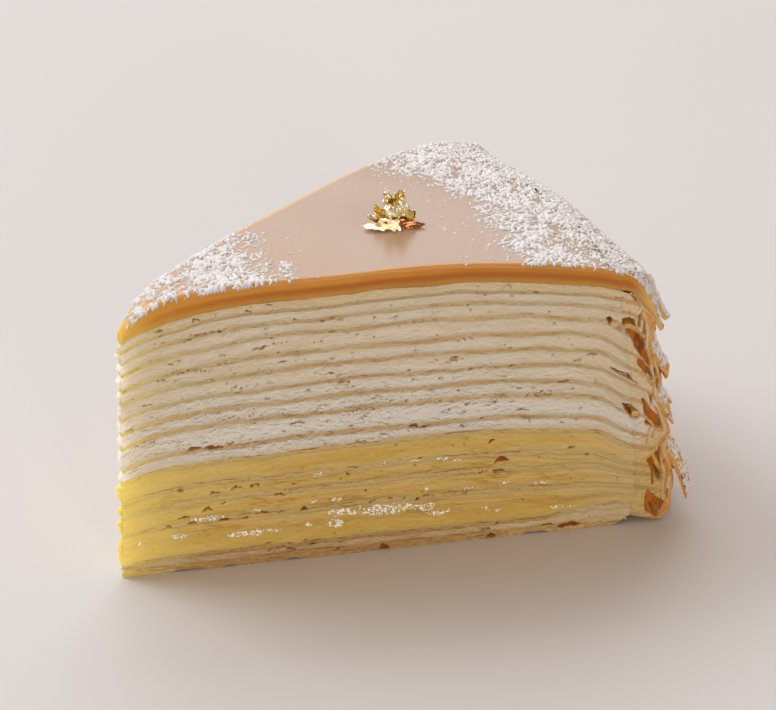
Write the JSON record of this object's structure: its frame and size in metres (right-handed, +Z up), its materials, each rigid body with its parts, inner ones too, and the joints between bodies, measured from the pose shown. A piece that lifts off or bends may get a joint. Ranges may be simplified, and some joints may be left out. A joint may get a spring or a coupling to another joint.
{
  "type": "crepe cake slice",
  "caption": "Wedge of crepe cake: thin crepes layered with cream and custard, a glazed top with gold leaf, and crepe edges folded down at the rim.",
  "frame": {"origin": "on the surface the slice stands on, under the middle of its bounding box", "axes": "+X along the slice from its pointed tip to its rim, +Z up, +Y to the left seen from the tip"},
  "size_m": [0.1084, 0.0712, 0.0676],
  "materials": {
    "crepe": "soft browned crepe, matte and slightly moist",
    "cream": "smooth whipped cream with vanilla specks",
    "custard": "moist yellow custard with wet highlights",
    "glaze": "glossy set caramel glaze",
    "gold_leaf": "crumpled bright gold foil",
    "sugar": "dusted icing sugar, matte grains"
  },
  "bodies": {
    "root": {"cream_01": "cream", "cream_02": "cream", "cream_03": "cream", "cream_04": "cream", "cream_05": "cream", "cream_06": "cream", "cream_07": "cream", "cream_08": "cream", "cream_09": "cream", "cream_10": "cream", "cream_11": "cream", "crepe_01": "crepe", "crepe_02": "crepe", "crepe_03": "crepe", "crepe_04": "crepe", "crepe_05": "crepe", "crepe_06": "crepe", "crepe_07": "crepe", "crepe_08": "crepe", "crepe_09": "crepe", "crepe_10": "crepe", "crepe_11": "crepe", "crepe_12": "crepe", "crepe_13": "crepe", "crepe_14": "crepe", "crepe_15": "crepe", "crepe_16": "crepe", "custard_01": "custard", "custard_02": "custard", "custard_03": "custard", "custard_04": "custard", "glaze": "glaze", "gold_leaf": "gold_leaf"}
  },
  "joints": []
}
